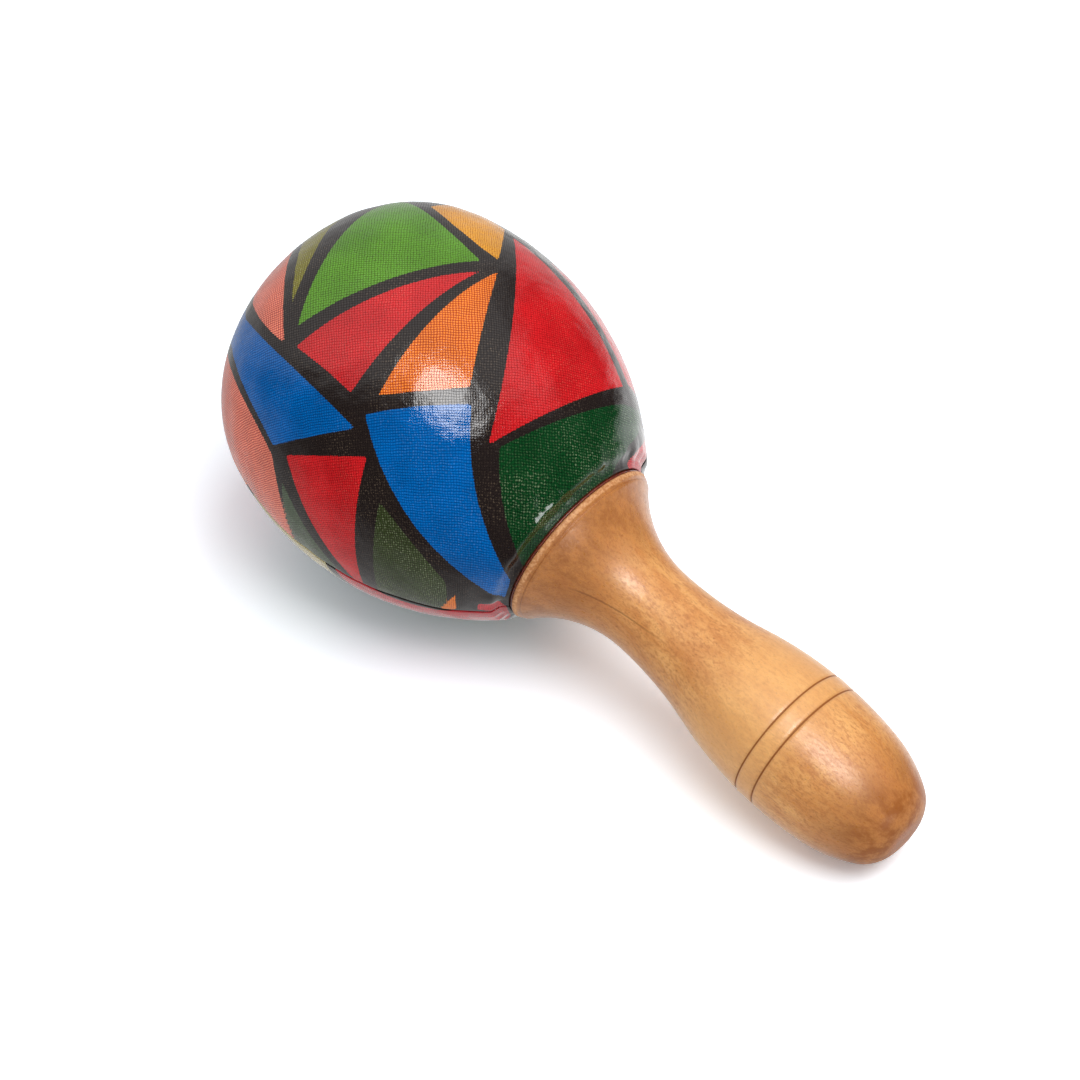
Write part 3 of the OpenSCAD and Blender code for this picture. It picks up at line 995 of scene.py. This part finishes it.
def add_surroundings():
    """A white studio; the lacquer mirrors its ceiling, its far wall, the table and one dark card."""
    world = bpy.data.worlds.new("studio")
    world.use_nodes = True
    bpy.context.scene.world = world
    tree = world.node_tree
    where = node(tree, "ShaderNodeTexCoord").outputs["Generated"]

    def facing(direction):
        return dot_product(tree, where, direction)

    front = facing(view_direction())
    ceiling = spread(tree, facing(picture_direction(-0.1, 1, 0)), 0.08, 0.4)
    ceiling = calc(tree, "MULTIPLY", ceiling, spread(tree, front, -0.2, 0.6, 0.75, 1.1))
    wall = spread(tree, front, -0.2, -0.8, 0.0, 0.65)
    dark_card = spread(tree, facing(picture_direction(0.85, 0.45, -0.15)), 0.78, 0.93, 1.0, 0.0)
    room = calc(tree, "MULTIPLY", calc(tree, "MAXIMUM", ceiling, wall), dark_card)
    table = spread(tree, facing(picture_direction(-0.07, 0.93, 0.36)), 0.03, -0.06)
    table_light = spread(tree, front, 0.35, -0.45, 0.0, 0.6)
    bright_side = spread(tree, facing(picture_direction(0.6, 0.15, -0.8)), 0.75, 0.95, 0.0, 1.0)
    table = calc(tree, "MULTIPLY", table, calc(tree, "ADD", table_light, bright_side))
    mirrored = calc(tree, "MAXIMUM", room, table)
    paths = node(tree, "ShaderNodeLightPath").outputs
    light = node(tree, "ShaderNodeMix", {0: paths["Is Glossy Ray"], 2: AMBIENT, 3: mirrored}).outputs[0]
    strength = node(tree, "ShaderNodeMix", {0: paths["Is Camera Ray"], 2: light, 3: 1.2}).outputs[0]
    tree.links.new(strength, tree.nodes["Background"].inputs["Strength"])
    tree.nodes["Background"].inputs["Color"].default_value = (1, 1, 1, 1)


def light_studio(target):
    """A softbox and a small card seen only in the lacquer, and a wide soft key light for the rest."""
    add_surroundings()
    add_floor()
    above_camera = picture_direction(0.03, 0.26, 0.97)
    softbox = add_light("softbox", target, above_camera, 0.9, 0.46, SOFTBOX_POWER, diffuse=False)
    softbox.data.shape = "DISK"
    low_right = picture_direction(0.66, -0.53, 0.52)
    add_light("side_card", target, low_right, 0.9, 0.22, SIDE_CARD_POWER, diffuse=False)
    upper_right = picture_direction(0.35, 0.55, 0.85)
    add_light("key", target, upper_right, 1.2, 1.1, KEY_POWER, glossy=False)
    bpy.context.scene.view_settings.view_transform = "Standard"


# ---------------------------------------------------------------- the scene

def build():
    """Makes every piece and gives each its material."""
    wood = wood_material()
    handle_piece().data.materials.append(wood)
    for half, roll, panels in (("upper", UPPER_ROLL, UPPER_PANELS), ("lower", LOWER_ROLL, LOWER_PANELS)):
        slot = f"printed_cloth_{half}"
        cover = cover_piece(f"printed_cover_{half}", f"cover_{half}", roll, panels)
        cover.data.materials.append(cloth_material(slot))
    binding_piece().data.materials.append(binding_material())
    seed_coat = seed_material()
    count = sum(1 for name in frame["nodes"] if name.startswith("seed_"))
    for number in range(1, count + 1):
        seed_piece(number).data.materials.append(seed_coat)
    pulp = pulp_material()
    for name in ("shell_upper", "shell_lower"):
        shell = frame["nodes"][name]
        shell.data.materials.clear()
        shell.data.materials.append(pulp)


build()
aim_point = (cad_low + cad_high) / 2 + Vector(AIM) * MM
add_camera(aim_point)
light_studio(aim_point)
